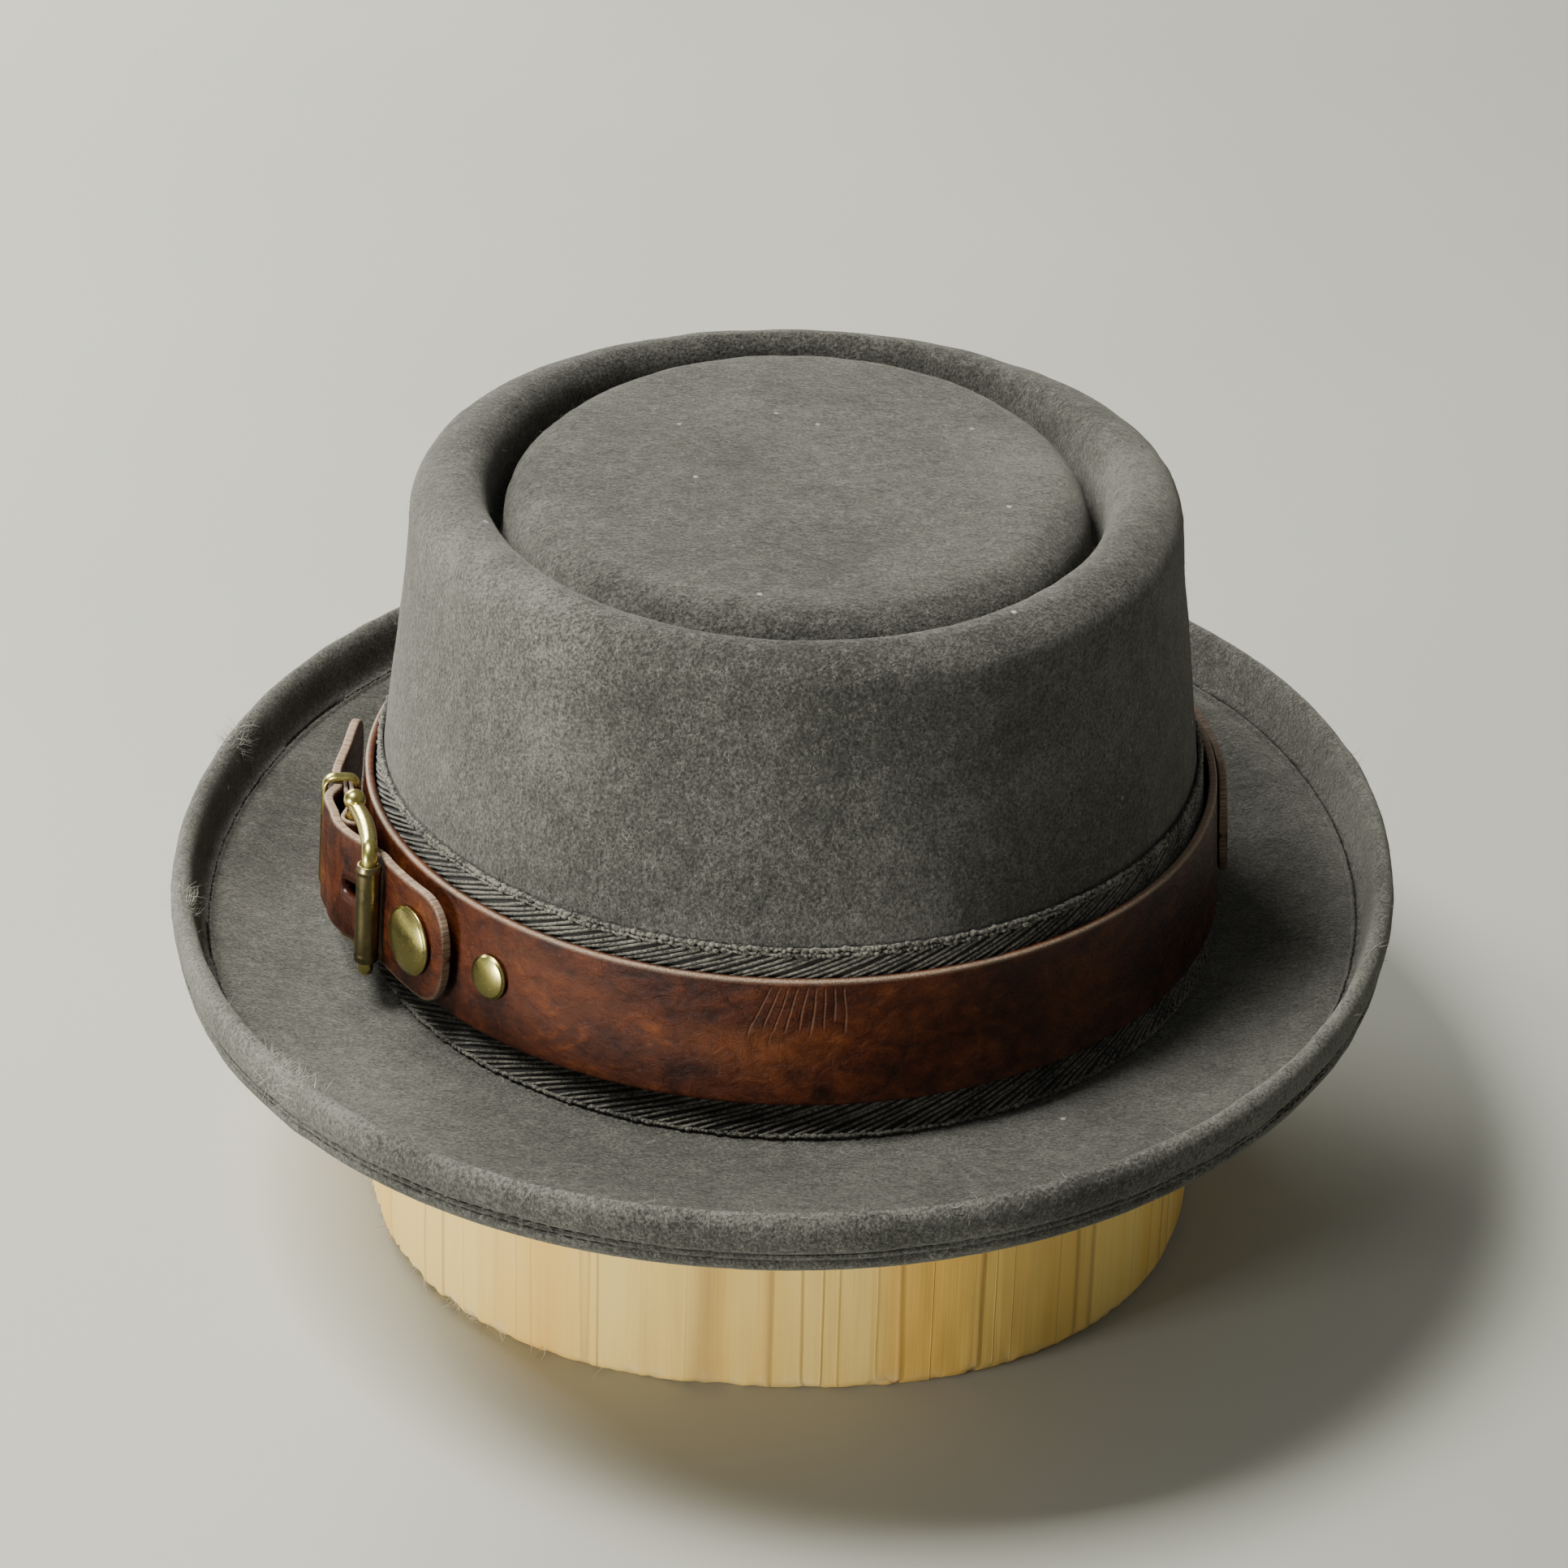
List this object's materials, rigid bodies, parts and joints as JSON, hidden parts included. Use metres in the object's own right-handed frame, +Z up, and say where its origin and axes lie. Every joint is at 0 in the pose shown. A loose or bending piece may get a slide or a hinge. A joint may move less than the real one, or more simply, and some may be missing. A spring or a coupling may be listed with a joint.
{
  "type": "porkpie hat on a plain wooden display stand",
  "caption": "Felt porkpie hat with a turned-up brim, a twill ribbon and a buckled leather band held by brass rivets, resting on a plain pine stand block.",
  "frame": {"origin": "middle of the stand block's flat bottom face", "axes": "+Z up, -Y is the front of the hat, -X is the side with the buckle, which is on the left in the picture"},
  "size_m": [0.2598, 0.3142, 0.162],
  "materials": {
    "felt": "matt grey wool felt with a fine nap",
    "twill": "dark twill ribbon with diagonal cords",
    "leather": "glossy aged red-brown leather",
    "brass": "worn antique brass",
    "bronze": "dark antique bronze",
    "pine": "plain pale pine with upright grain"
  },
  "bodies": {
    "root": {"felt_body": "felt", "twill_ribbon": "twill", "leather_band": "leather", "billet_strap": "leather", "chape_strap": "leather", "side_tab": "leather", "buckle_frame": "brass", "buckle_roller": "bronze", "buckle_tongue": "brass", "keeper_loop": "brass", "large_rivet": "brass", "small_rivet": "brass", "tab_rivet": "brass", "chape_rivet": "brass", "stand_block": "pine"}
  },
  "joints": []
}
